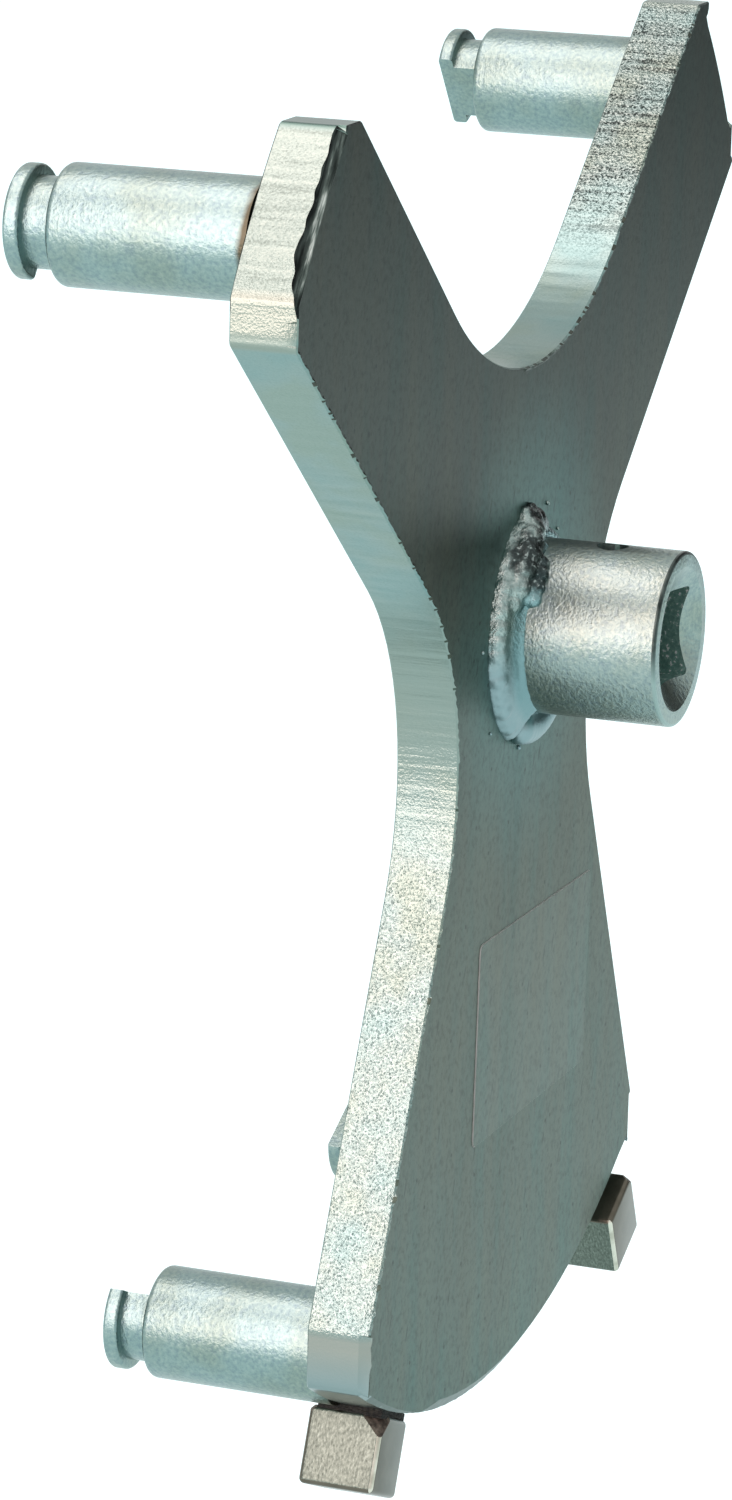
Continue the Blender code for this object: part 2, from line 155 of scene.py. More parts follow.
front_edge = set()
for edge in plate.data.edges:
    ends = [plate.data.vertices[index] for index in edge.vertices]
    ends.sort(key=lambda end: end.co.y)
    if ends[0].co.y < front_limit and ends[1].co.y > plate_front + 0.0001:
        front_edge.add(ends[0].index)
moves = []
for vertex in plate.data.vertices:
    at = vertex.co
    edge_room = min(at.y - plate_front, plate_back - at.y)
    outward = Vector((vertex.normal.x, 0.0, vertex.normal.z)).normalized()
    patch = noise.noise(Vector((at.x * slow_patches, 0.0, at.z * slow_patches)))
    slow = patch > slow_above or abs(at.z + waist_height) < waist_reach
    ridge = noise.noise(Vector((at.x / ridge_pitch, at.y * ridge_run, at.z / ridge_pitch)))
    depth = min(edge_room / ridge_room, 1.0) * ridge_depth * (1.0 if slow else faint) * ridge
    move = outward * (min(depth, 0.0) if edge_room < ridge_margin else depth)
    from_hub = hypot(at.x, at.z)
    on_left = outward.x < 0.1 and at.z < burr_top
    if vertex.index in front_edge and from_hub < burr_limit and on_left:
        burr = noise.noise(Vector((at.x / burr_pitch, 5.0, at.z / burr_pitch))) + burr_bias
        move.y = -burr_height * max(burr, 0.0)
    on_border = abs(at.y - plate_front - dressed_depth) < 0.0001 and from_hub > border_from
    if on_border and at.x < 0 and at.z > near_arm_from:
        wave = wave_height * noise.noise(Vector((at.x / wave_pitch, 0.0, at.z / wave_pitch)))
        share = clamped((at.z - dressed_from) / dressed_fade, least_share)
        move.y += (dressed_depth + wave) * share - dressed_depth
    if at.y < front_limit and at.z < 0 and at.x < missed_to + missed_fade:
        dressed = dressed_least + dressed_growth * (at.x / rim_radius + 1) / 2
        missed = clamped((missed_to + missed_fade - at.x) / missed_fade)
        missed *= clamped((at.x - missed_from) / missed_start)
        inner = rim_radius - dressed - missed_reach
        if from_hub > inner:
            share = min((from_hub - inner) / missed_reach, 1.0)
            move += Vector((at.x, 0.0, at.z)) / from_hub * share * (dressed - missed_edge) * missed
    moves.append(move)
for vertex, move in zip(plate.data.vertices, moves):
    vertex.co += move
bpy.ops.object.shade_smooth_by_angle(angle=radians(20))
bpy.ops.object.mode_set(mode="EDIT")
pick(plate, "FACE", lambda face: abs(face.normal.y) > squarely)
bpy.ops.mesh.faces_shade_flat()
bpy.ops.object.mode_set(mode="OBJECT")


def linear(hex_colour):
    """The linear colour of an sRGB hex value."""
    shares = [int(hex_colour[start:start + 2], 16) / 255 for start in (1, 3, 5)]
    return (*[s / 12.92 if s <= 0.04045 else ((s + 0.055) / 1.055) ** 2.4 for s in shares], 1.0)


def new_finish(name, colour, metallic, roughness):
    """A material with these constants, its Principled shader, and the place on the piece."""
    finish = bpy.data.materials.new(name)
    finish.use_nodes = True
    shader = finish.node_tree.nodes["Principled BSDF"]
    shader.inputs["Base Color"].default_value = linear(colour)
    shader.inputs["Metallic"].default_value = metallic
    shader.inputs["Roughness"].default_value = roughness
    return finish, shader, (finish.node_tree.nodes.new("ShaderNodeTexCoord"), "Object")


def link(finish, node, links):
    """Joins inputs of a node to others, each given as a node or as (node, output)."""
    for name, source in links.items():
        source, output = source if isinstance(source, tuple) else (source, 0)
        finish.node_tree.links.new(source.outputs[output], node.inputs[name])


def add_node(finish, kind, settings, links):
    """Adds a node. Settings are its options and unlinked inputs, and links are its other inputs.

    A ColorRamp's stops are given as a list of (place, hex colour). A Mix is of colours.
    """
    node = finish.node_tree.nodes.new("ShaderNode" + kind)
    if kind == "Mix":
        node.data_type = "RGBA"
    for name, value in settings.items():
        if name == "stops":
            while len(node.color_ramp.elements) < len(value):
                node.color_ramp.elements.new(1.0)
            for element, (place, colour) in zip(node.color_ramp.elements, value):
                element.position, element.color = place, linear(colour)
        elif isinstance(name, str) and hasattr(node, name):
            setattr(node, name, value)
        else:
            node.inputs[name].default_value = linear(value) if isinstance(value, str) else value
    link(finish, node, links)
    return node


# Zinc on the rolled face: blue passivation over mill rolled steel. It is satin and dark, with
# painted shade that greys and darkens it towards the top, teal at the foot, with streaks down it,
# a teal halo of weld heat round the boss, pits and short rolling scratches.
zinc_face, shader, place = new_finish("zinc_on_rolled_steel", "#66807a", 1.0, 0.46)
axes = add_node(zinc_face, "SeparateXYZ", {}, {0: place})
streak_place = add_node(zinc_face, "Mapping", {"Scale": (1 / 0.011, 1.0, 1 / 0.06)}, {"Vector": place})
streaks = add_node(
    zinc_face, "TexNoise", {"Scale": 1.0, "Detail": 5.0, "Roughness": 0.6}, {"Vector": streak_place}
)
height = add_node(
    zinc_face, "MapRange", {"From Min": -0.125, "From Max": 0.085}, {"Value": (axes, "Z")}
)
# The height mix darkens and greys the zinc towards the top: painted shade, with the streaks over it.
streaks_and_painted_shade = add_node(zinc_face, "Math", {"operation": "MULTIPLY_ADD", 1: 0.5}, {0: streaks, 2: height})
streaked_painted_shade = add_node(
    zinc_face, "ValToRGB",
    {"stops": [
        (0.18, "#607c74"), (0.42, "#606f67"), (0.66, "#5b665c"), (0.86, "#50584f"), (1.0, "#49504a"),
    ]}, {"Fac": streaks_and_painted_shade},
)
tint_noise = add_node(
    zinc_face, "TexNoise", {"Scale": 1.4, "Detail": 5.0, "Roughness": 0.65}, {"Vector": streak_place}
)
tint = add_node(
    zinc_face, "ValToRGB", {"stops": [(0.34, "#fff6ef"), (0.50, "#f4f4f2"), (0.68, "#daf4f4")]},
    {"Fac": tint_noise},
)
tinted = add_node(zinc_face, "Mix", {"blend_type": "MULTIPLY", 0: 1.0}, {6: streaked_painted_shade, 7: tint})
from_hub = add_node(zinc_face, "VectorMath", {"operation": "LENGTH"}, {0: place})
heat = add_node(
    zinc_face, "MapRange",
    {"interpolation_type": "SMOOTHSTEP", "From Min": 0.042, "From Max": 0.015, "To Max": 0.5},
    {"Value": (from_hub, "Value")},
)
heated = add_node(zinc_face, "Mix", {7: "#5d8986"}, {0: heat, 6: (tinted, 2)})
grain = add_node(
    zinc_face, "TexNoise", {"Scale": 1 / 0.0011, "Detail": 3.0, "Roughness": 0.7}, {"Vector": place}
)
speckle = add_node(
    zinc_face, "ValToRGB", {"stops": [(0.30, "#c8c8c6"), (0.52, "#f4f4f4"), (0.75, "#ffffff")]},
    {"Fac": grain},
)
speckled = add_node(zinc_face, "Mix", {"blend_type": "MULTIPLY", 0: 1.0}, {6: (heated, 2), 7: speckle})
flat_place = add_node(zinc_face, "CombineXYZ", {}, {"X": (axes, "X"), "Y": (axes, "Z")})
pitted = speckled
for turn, long, wide, size, share in ((70, 0.030, 0.0062, 0.034, 0.55), (20, 0.011, 0.011, 0.024, 0.8)):
    pit_place = add_node(
        zinc_face, "Mapping",
        {"vector_type": "TEXTURE", "Rotation": (0.0, 0.0, radians(turn)), "Scale": (long, wide, 1.0)},
        {"Vector": flat_place},
    )
    pits = add_node(
        zinc_face, "TexVoronoi", {"voronoi_dimensions": "2D", "Scale": 1.0}, {"Vector": pit_place}
    )
    pit_mask = add_node(
        zinc_face, "MapRange", {"From Min": size * 1.5, "From Max": size * 0.7, "To Max": share},
        {"Value": (pits, "Distance")},
    )
    pitted = add_node(zinc_face, "Mix", {7: "#2c3330"}, {0: pit_mask, 6: (pitted, 2)})
bump = add_node(zinc_face, "Bump", {"Strength": 0.6, "Distance": 0.00004}, {"Height": grain})
link(zinc_face, shader, {"Base Color": (pitted, 2), "Normal": bump})

# Zinc on the laser-cut side: the same plating over a rough cut. Its grain is under a
# millimetre and glitters down the foot and on the arms' ends, because each grain is tilted its
# own way. The beam's ridges cross it at the waist, and the ends of the arms are creamier.
zinc_cut, shader, place = new_finish("zinc_on_laser_cut_steel", "#768f8b", 1.0, 0.30)
axes = add_node(zinc_cut, "SeparateXYZ", {}, {0: place})
from_hub = add_node(zinc_cut, "VectorMath", {"operation": "LENGTH"}, {0: place})
grain = add_node(
    zinc_cut, "TexNoise", {"Scale": 1 / 0.00036, "Detail": 1.0, "Roughness": 0.7}, {"Vector": place}
)
grain_colour = add_node(
    zinc_cut, "ValToRGB",
    {"stops": [(0.28, "#566562"), (0.42, "#748883"), (0.52, "#82948f"), (0.70, "#8f9f99")]},
    {"Fac": grain},
)
patches = add_node(zinc_cut, "TexNoise", {"Scale": 1 / 0.011, "Detail": 3.0}, {"Vector": place})
patch_colour = add_node(
    zinc_cut, "ValToRGB", {"stops": [(0.36, "#f1fcff"), (0.5, "#ffffff"), (0.62, "#fffbf3")]},
    {"Fac": patches},
)
right_arm = add_node(
    zinc_cut, "MapRange", {"From Min": 0.028, "From Max": 0.05}, {"Value": (axes, "X")}
)
top_cut = add_node(
    zinc_cut, "MapRange", {"From Min": 0.0796, "From Max": 0.0803, "To Min": 1.0, "To Max": 0.05},
    {"Value": (axes, "Z")},
)
above_ends = add_node(zinc_cut, "Math", {"operation": "MAXIMUM"}, {0: top_cut, 1: right_arm})
below_corner = add_node(
    zinc_cut, "MapRange", {"From Min": -0.0886, "From Max": -0.0872, "To Min": 0.1},
    {"Value": (axes, "Z")},
)
arm_end = add_node(
    zinc_cut, "MapRange", {"From Min": 0.0553, "From Max": 0.0563}, {"Value": (axes, "Z")}
)
outermost = add_node(
    zinc_cut, "MapRange", {"From Min": 0.1075, "From Max": 0.109}, {"Value": (from_hub, "Value")}
)
for limit in (outermost, above_ends):
    arm_end = add_node(zinc_cut, "Math", {"operation": "MULTIPLY"}, {0: arm_end, 1: limit})
foot_grain = add_node(
    zinc_cut, "MapRange", {"From Min": -0.005, "From Max": -0.03, "To Min": 0.12},
    {"Value": (axes, "Z")},
)
high = add_node(
    zinc_cut, "MapRange", {"From Min": 0.038, "From Max": 0.055, "To Max": 1.6}, {"Value": (axes, "Z")}
)
arm_grain = add_node(zinc_cut, "Math", {"operation": "MULTIPLY"}, {0: right_arm, 1: high})
end_grain = add_node(zinc_cut, "Math", {"operation": "MULTIPLY", 1: 0.45}, {0: arm_end})
grain_depth = foot_grain
for operation, other in (
    ("MAXIMUM", arm_grain), ("MAXIMUM", end_grain),
    ("MULTIPLY", above_ends), ("MULTIPLY", below_corner),
):
    grain_depth = add_node(zinc_cut, "Math", {"operation": operation}, {0: grain_depth, 1: other})
grained = add_node(zinc_cut, "Mix", {6: "#768f8b"}, {0: grain_depth, 7: grain_colour})
tinted = add_node(
    zinc_cut, "Mix", {"blend_type": "MULTIPLY", 0: 1.0}, {6: (grained, 2), 7: patch_colour}
)
ridge_place = add_node(
    zinc_cut, "Mapping", {"Scale": (1 / 0.0011, 1 / 0.02, 1 / 0.0011)}, {"Vector": place}
)
ridges = add_node(zinc_cut, "TexNoise", {"Scale": 1.0}, {"Vector": ridge_place})
ridge_share = add_node(zinc_cut, "Math", {"operation": "MULTIPLY", 1: 0.5}, {0: ridges})
roughly = add_node(zinc_cut, "Math", {"operation": "MULTIPLY_ADD", 1: 0.5}, {0: grain, 2: ridge_share})
specks = add_node(
    zinc_cut, "ValToRGB", {"stops": [(0.40, "#747474"), (0.47, "#d0d0d0"), (0.53, "#ffffff")]},
    {"Fac": roughly},
)
specked = add_node(
    zinc_cut, "Mix", {"blend_type": "MULTIPLY"}, {0: arm_grain, 6: (tinted, 2), 7: specks}
)
# On the near arm's top facet the colour is a darker teal: painted shade.
top_facet_painted_shade = add_node(zinc_cut, "Mix", {6: "#4c665f"}, {0: above_ends, 7: (specked, 2)})
# Below the foot's corner the side turns grey, then teal lower down: painted shade of a facet.
corner = add_node(zinc_cut, "MapRange", {"From Min": 1.0, "From Max": 0.1}, {"Value": below_corner})
lower_down = add_node(
    zinc_cut, "MapRange", {"From Min": -0.0900, "From Max": -0.0950}, {"Value": (axes, "Z")}
)
painted_facet_shade = add_node(zinc_cut, "Mix", {6: "#8b918a", 7: "#7b8e8e"}, {0: lower_down})
with_painted_facet_shade = add_node(zinc_cut, "Mix", {}, {0: corner, 6: (top_facet_painted_shade, 2), 7: (painted_facet_shade, 2)})
at_waist = add_node(
    zinc_cut, "MapRange", {"From Min": 0.045, "From Max": 0.030, "To Max": 1.3},
    {"Value": (from_hub, "Value")},
)
warm_waist = add_node(zinc_cut, "Math", {"operation": "MULTIPLY", 1: 0.6}, {0: at_waist})
waist_colour = add_node(zinc_cut, "Mix", {7: "#86928a"}, {0: warm_waist, 6: (with_painted_facet_shade, 2)})
end_speckle = add_node(
    zinc_cut, "ValToRGB", {"stops": [(0.36, "#6b7a73"), (0.48, "#7c8d86"), (0.62, "#86958d")]},
    {"Fac": roughly},
)
end_colour = add_node(zinc_cut, "Mix", {}, {0: arm_end, 6: (waist_colour, 2), 7: end_speckle})
near_corner = add_node(
    zinc_cut, "MapRange", {"From Min": -0.0946, "From Max": -0.0952, "To Max": 0.6},
    {"Value": (axes, "X")},
)
end_colour = add_node(zinc_cut, "Mix", {7: "#8a9185"}, {0: near_corner, 6: (end_colour, 2)})
grain_relief = add_node(zinc_cut, "Math", {"operation": "MULTIPLY"}, {0: grain, 1: grain_depth})
end_ridges = add_node(zinc_cut, "Math", {"operation": "MULTIPLY", 1: 0.5}, {0: arm_end})
ridged = at_waist
for other in (end_ridges, arm_grain):
    ridged = add_node(zinc_cut, "Math", {"operation": "MAXIMUM"}, {0: ridged, 1: other})
relief = add_node(
    zinc_cut, "Math", {"operation": "MULTIPLY_ADD"}, {0: ridges, 1: ridged, 2: grain_relief}
)
bump = add_node(zinc_cut, "Bump", {"Distance": 0.00016}, {"Height": relief})
link(zinc_cut, shader, {"Base Color": (end_colour, 2), "Normal": bump})

# Zinc on the ground edge: greyer and duller, with the marks of the grinding disc along it.
upper_angle = radians(38.6)
zinc_ground, shader, place = new_finish("zinc_on_ground_steel", "#5c6a67", 1.0, 0.42)
mark_place = add_node(
    zinc_ground, "Mapping",
    {"vector_type": "TEXTURE", "Rotation": (0.0, upper_angle, 0.0), "Scale": (0.0009, 0.0009, 0.008)},
    {"Vector": place},
)
marks = add_node(zinc_ground, "TexNoise", {"Scale": 1.0, "Detail": 4.0}, {"Vector": mark_place})
mark_colour = add_node(
    zinc_ground, "ValToRGB",
    {"stops": [(0.40, "#191e1d"), (0.54, "#3b4441"), (0.62, "#5f6b66"), (0.70, "#c0cac4")]},
    {"Fac": marks},
)
axes = add_node(zinc_ground, "SeparateXYZ", {}, {0: place})
on_foot = add_node(
    zinc_ground, "MapRange", {"From Min": 0.02, "From Max": -0.02, "To Max": 0.85},
    {"Value": (axes, "Z")},
)
on_right = add_node(
    zinc_ground, "MapRange", {"From Min": -0.01, "From Max": 0.01, "To Max": 0.8},
    {"Value": (axes, "X")},
)
calm = add_node(zinc_ground, "Math", {"operation": "MAXIMUM"}, {0: on_foot, 1: on_right})
ground_colour = add_node(zinc_ground, "Mix", {7: "#5f6f6a"}, {0: calm, 6: mark_colour})
mark_depth = add_node(zinc_ground, "MapRange", {"To Min": 0.8, "To Max": 0.15}, {"Value": calm})
bump = add_node(zinc_ground, "Bump", {"Distance": 0.0001}, {"Height": marks, "Strength": mark_depth})
link(zinc_ground, shader, {"Base Color": (ground_colour, 2), "Normal": bump})

for finish in (zinc_face, zinc_cut, zinc_ground):
    plate.data.materials.append(finish)
arms_half_span, foot_half_span, strip_inner = 0.0955, 0.0560, 0.1085
for face in plate.data.polygons:
    slope = abs(face.normal.y)
    half_span = arms_half_span if face.center.z > 0 else foot_half_span
    on_rim = hypot(face.center.x, face.center.z) > strip_inner and abs(face.center.x) < half_span
    ground = on_rim and 0.3 < slope < 0.99 and not 0.0 < face.center.z < dressed_from
    flat = slope > 0.99 or face.center.y < plate_front - 0.00001
    face.material_index = 2 if ground else 0 if flat else 1
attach(plate, "wrench")
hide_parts("wrench_plate")

# The drive boss is turned from 25 mm bar, with a broached half-inch square, a countersunk
# mouth and a drilled cross hole for the ratchet's ball. It is welded on before plating.
boss_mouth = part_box("drive_socket")[0].y
boss_radius, boss_chamfer, square_side, square_round = 0.0125, 0.0005, 0.0129, 0.0009
square_depth, mouth_radius, cross_hole_radius, cross_hole_in = 0.0165, 0.01025, 0.00225, 0.0105
mouth_slope, mouth_room, cut_room, bore_reach, chamfer_from = 1.732, 0.002, 0.001, 0.0097, 0.0119
smooth_angle, turned_sides = radians(25), 128


def cut_away(piece, cutter):
    """Takes a cutter out of a piece and removes the cutter."""
    cut = piece.modifiers.new("cut", "BOOLEAN")
    cut.operation, cut.solver, cut.object = "DIFFERENCE", "EXACT", cutter
    select_only(piece)
    bpy.ops.object.modifier_apply(modifier="cut")
    bpy.data.objects.remove(cutter, do_unlink=True)


def settle(piece):
    """Puts a finished piece's place into its mesh, with its object at the origin."""
    select_only(piece)
    bpy.ops.object.transform_apply(location=True, rotation=True, scale=True)


bpy.ops.object.select_all(action="DESELECT")
bpy.ops.mesh.primitive_cylinder_add(
    vertices=turned_sides, radius=boss_radius, depth=plate_front - boss_mouth,
    location=(0.0, (plate_front + boss_mouth) / 2, 0.0), rotation=(radians(90), 0.0, 0.0),
)
boss = bpy.context.object
boss.name = "boss"
settle(boss)
bpy.ops.object.mode_set(mode="EDIT")
pick(boss, "EDGE", lambda edge: max(vertex.co.y for vertex in edge.verts) < boss_mouth + 0.0001)
bpy.ops.mesh.bevel(offset=boss_chamfer, segments=3)
bpy.ops.object.mode_set(mode="OBJECT")
square_middle = boss_mouth + square_depth / 2 - cut_room
bpy.ops.mesh.primitive_cube_add(size=1.0, location=(0.0, square_middle, 0.0))
square = bpy.context.object
square.scale = (square_side, square_depth + 2 * cut_room, square_side)
settle(square)
bpy.ops.object.mode_set(mode="EDIT")
pick(square, "EDGE", along_y)
bpy.ops.mesh.bevel(offset=square_round, segments=5)
bpy.ops.object.mode_set(mode="OBJECT")
cut_away(boss, square)
bpy.ops.mesh.primitive_cone_add(
    vertices=turned_sides, radius1=mouth_radius + mouth_room * mouth_slope, radius2=0.0,
    depth=mouth_radius / mouth_slope + mouth_room, rotation=(radians(-90), 0.0, 0.0),
    location=(0.0, boss_mouth + (mouth_radius / mouth_slope - mouth_room) / 2, 0.0),
)
cut_away(boss, bpy.context.object)
bpy.ops.mesh.primitive_cylinder_add(
    vertices=40, radius=cross_hole_radius, depth=0.015,
    location=(0.0, boss_mouth + cross_hole_in, 0.0075),
)
cut_away(boss, bpy.context.object)
bpy.ops.object.shade_smooth_by_angle(angle=smooth_angle)
for face in boss.data.polygons:
    out = hypot(face.center.x, face.center.z)
    sideways = abs(face.normal.y) < 0.1 and out < bore_reach
    chamfered = 0.15 < abs(face.normal.y) < 0.97 and out > chamfer_from
    face.material_index = 1 if sideways else 2 if chamfered else 0

# Zinc on turned steel: a fine glittering grain over the lathe tool's faint rings. Each pin is
# darker brown in a band at its foot, next to the plate.
zinc_turned, shader, place = new_finish("zinc_on_turned_steel", "#7c9492", 1.0, 0.35)
grain = add_node(zinc_turned, "TexNoise", {"Scale": 1 / 0.0006, "Roughness": 0.6}, {"Vector": place})
blotches = add_node(zinc_turned, "TexNoise", {"Scale": 1 / 0.009, "Detail": 3.0}, {"Vector": place})
grain_colour = add_node(
    zinc_turned, "ValToRGB", {"stops": [(0.32, "#70878a"), (0.5, "#7c9492"), (0.7, "#879d99")]},
    {"Fac": grain},
)
blotch_colour = add_node(
    zinc_turned, "ValToRGB", {"stops": [(0.35, "#faf4ec"), (0.6, "#ffffff")]}, {"Fac": blotches}
)
blotched = add_node(
    zinc_turned, "Mix", {"blend_type": "MULTIPLY", 0: 1.0}, {6: grain_colour, 7: blotch_colour}
)
ring_place = add_node(zinc_turned, "Mapping", {"Scale": (1.0, 1 / 0.0004, 1.0)}, {"Vector": place})
rings = add_node(zinc_turned, "TexNoise", {"Scale": 1.0, "Detail": 1.0}, {"Vector": ring_place})
relief = add_node(zinc_turned, "Math", {"operation": "MULTIPLY_ADD", 1: 0.1}, {0: rings, 2: grain})
bump = add_node(zinc_turned, "Bump", {"Distance": 0.00009}, {"Height": relief})
pin_base = add_node(zinc_turned, "SeparateXYZ", {}, {0: place})
foot_band_reach = add_node(
    zinc_turned, "Math", {"operation": "MULTIPLY_ADD", 1: -0.004}, {0: blotches, 2: (pin_base, "Y")}
)
off_front = add_node(
    zinc_turned, "MapRange", {"From Min": -0.0005, "From Max": 0.0}, {"Value": (pin_base, "Y")}
)
foot_band = add_node(
    zinc_turned, "MapRange", {"From Min": -0.0010, "From Max": -0.0017}, {"Value": foot_band_reach}
)
pin_foot_band = add_node(zinc_turned, "Math", {"operation": "MULTIPLY"}, {0: foot_band, 1: off_front})
# The boss's colour is lightened against the pins': painted light.
on_boss = add_node(
    zinc_turned, "MapRange", {"From Min": 0.0, "From Max": -0.0005}, {"Value": (pin_base, "Y")}
)
boss_painted_light = add_node(
    zinc_turned, "Mix", {"blend_type": "MULTIPLY", 7: (1.25, 1.13, 1.11, 1.0)},
    {0: on_boss, 6: (blotched, 2)},
)
foot_banded = add_node(zinc_turned, "Mix", {7: "#4c4b3e"}, {0: pin_foot_band, 6: (boss_painted_light, 2)})
link(zinc_turned, shader, {"Base Color": (foot_banded, 2), "Normal": bump})

# Zinc in the bore: the bath reached it less, so its broached walls are duller and darker. The
# white specks in its grain are painted glints.
zinc_bore_with_painted_glints, shader, place = new_finish("zinc_in_bore_with_painted_glints", "#7fa39b", 0.3, 0.42)
grain = add_node(zinc_bore_with_painted_glints, "TexNoise", {"Scale": 1 / 0.0006, "Roughness": 0.7}, {"Vector": place})
grain_colour = add_node(
    zinc_bore_with_painted_glints, "ValToRGB", {"stops": [(0.4, "#6c938b"), (0.60, "#86ada4"), (0.68, "#ffffff")]},
    {"Fac": grain},
)
bump = add_node(zinc_bore_with_painted_glints, "Bump", {"Distance": 0.0001}, {"Height": grain})
link(zinc_bore_with_painted_glints, shader, {"Base Color": grain_colour, "Normal": bump})

# Zinc on the boss's chamfer, with a painted reflection: nearly black from its crown to its
# middle, and pale below.
chamfer_zinc_painted_reflection, shader, place = new_finish("zinc_chamfer_with_painted_reflection", "#39423f", 1.0, 0.35)
axes = add_node(chamfer_zinc_painted_reflection, "SeparateXYZ", {}, {0: place})
low = add_node(
    chamfer_zinc_painted_reflection, "MapRange", {"From Min": 0.001, "From Max": -0.004}, {"Value": (axes, "Z")}
)
reflection_patches = add_node(chamfer_zinc_painted_reflection, "TexNoise", {"Scale": 1 / 0.002}, {"Vector": place})
painted_dark_reflection = add_node(
    chamfer_zinc_painted_reflection, "ValToRGB", {"stops": [(0.40, "#2a3230"), (0.65, "#4a5552")]}, {"Fac": reflection_patches}
)
chamfer_colour = add_node(chamfer_zinc_painted_reflection, "Mix", {7: "#8ba19d"}, {0: low, 6: painted_dark_reflection})
link(chamfer_zinc_painted_reflection, shader, {"Base Color": (chamfer_colour, 2)})

for finish in (zinc_turned, zinc_bore_with_painted_glints, chamfer_zinc_painted_reflection):
    boss.data.materials.append(finish)
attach(boss, "wrench")
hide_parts("drive_socket")

# The four pins are turned from 16 mm bar, with a neck behind a thin end flange, and a flat
# milled on both that faces the drive axis. One is modelled at the hub and copied to its places.
pin_radius, pin_body, shoulder_round, neck_radius, neck_length = 0.008, 0.0274, 0.0009, 0.006, 0.0038
flange_radius, flange_length, flange_round, flat_offset = 0.0075, 0.0022, 0.0005, 0.003
pin_circle, lower_angle, neck_round, flat_reach = 0.1055, radians(-64.8), 0.0003, 0.01
bpy.ops.object.select_all(action="DESELECT")
bpy.ops.mesh.primitive_cylinder_add(
    vertices=96, radius=pin_radius, depth=pin_body, location=(0.0, pin_body / 2, 0.0),
    rotation=(radians(-90), 0.0, 0.0),
)
pin = bpy.context.object
settle(pin)
bpy.ops.object.mode_set(mode="EDIT")
pick(pin, "FACE", lambda face: face.normal.y > 0.9)
bpy.ops.mesh.inset(thickness=pin_radius - neck_radius)
for rise, widen in ((neck_length, 0.0), (0.0, flange_radius - neck_radius), (flange_length, 0.0)):
    bpy.ops.mesh.extrude_region_move(TRANSFORM_OT_translate={"value": (0.0, rise, 0.0)})
    if widen:
        grow = flange_radius / neck_radius
        bpy.ops.transform.resize(value=(grow, 1.0, grow))


def ring_at(y, radius):
    """A test for the edges of the ring at this height and radius."""
    return lambda edge: all(
        abs(vertex.co.y - y) < nearly and abs(hypot(vertex.co.x, vertex.co.z) - radius) < nearly
        for vertex in edge.verts
    ) and edge.calc_length() < 0.001


flange_foot = pin_body + neck_length
for y, radius, rounding in (
    (pin_body, pin_radius, shoulder_round), (flange_foot, flange_radius, flange_round),
    (flange_foot + flange_length, flange_radius, flange_round), (pin_body, neck_radius, neck_round),
):
    pick(pin, "EDGE", ring_at(y, radius))
    bpy.ops.mesh.bevel(offset=rounding, segments=4)
bpy.ops.mesh.select_all(action="SELECT")
bpy.ops.mesh.remove_doubles(threshold=0.000002)
bpy.ops.mesh.normals_make_consistent(inside=False)
bpy.ops.object.mode_set(mode="OBJECT")
flat_start = pin_body + neck_round
flat_end = flange_foot + flange_length + cut_room
flat_middle = (-flat_offset - flat_reach / 2, (flat_start + flat_end) / 2, 0.0)
bpy.ops.mesh.primitive_cube_add(size=1.0, location=flat_middle)
flat = bpy.context.object
flat.scale = (flat_reach, flat_end - flat_start, 2 * flat_reach)
settle(flat)
cut_away(pin, flat)
bpy.ops.object.shade_smooth_by_angle(angle=smooth_angle)


def copies_at_the_pins(piece, prefix):
    """Copies a piece made at the hub to the four pins' places, and removes the first."""
    copies = []
    for name, angle in (
        ("upper_left", pi - upper_angle), ("upper_right", upper_angle),
        ("lower_left", pi - lower_angle), ("lower_right", lower_angle),
    ):
        placed = new_object(prefix + name, piece.data.copy())
        placed.data.transform(Matrix.Rotation(-angle, 4, "Y"))
        place = (pin_circle * cos(angle), 0.0, pin_circle * sin(angle))
        placed.data.transform(Matrix.Translation(place))
        copies.append((name, placed))
    bpy.data.objects.remove(piece, do_unlink=True)
    return copies


for name, placed in copies_at_the_pins(pin, "ring_pin_"):
    placed.data.materials.clear()
    placed.data.materials.append(zinc_turned)
    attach(placed, "wrench")
    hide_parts("pin_" + name)

# The welds are fillet beads laid by hand in short runs, plated with the rest. The boss's left
# bead is heavy and lumpy at its top, where the plating is burnt black, and smooth below.
weld_grain, melt_share, lump_fade, least_lumps = 0.0003, 0.6, 0.004, 0.12


def fillet_run(name, outline, first, last):
    """A fillet's cross-section, as radius and height, spun from one angle to another."""
    mesh = bpy.data.meshes.new(name)
    mesh.from_pydata([(radius, y, 0.0) for radius, y in outline], [], [range(len(outline))])
    run = new_object(name, mesh)
    select_only(run)
    bpy.ops.object.mode_set(mode="EDIT")
    bpy.ops.mesh.select_all(action="SELECT")
    bpy.ops.mesh.spin(
        steps=48, angle=radians(last - first), center=(0.0, 0.0, 0.0), axis=(0.0, 1.0, 0.0)
    )
    bpy.ops.mesh.select_all(action="SELECT")
    bpy.ops.mesh.normals_make_consistent(inside=False)
    bpy.ops.object.mode_set(mode="OBJECT")
    run.rotation_euler = (0.0, -radians(first), 0.0)
    settle(run)
    return run


def drop(angle, radius, y, reach, rise):
    """A drop of weld metal at an angle and radius, with its half width and half height."""
    bpy.ops.object.select_all(action="DESELECT")
    bpy.ops.mesh.primitive_ico_sphere_add(
        subdivisions=3, radius=1.0,
        location=(radius * cos(radians(angle)), y, radius * sin(radians(angle))),
    )
    bpy.context.object.scale = (reach, rise, reach)
    return bpy.context.object


def join_to(piece, others):
    """Makes other pieces part of this one."""
    select_only(piece)
    for other in others:
        other.select_set(True)
    bpy.ops.object.join()


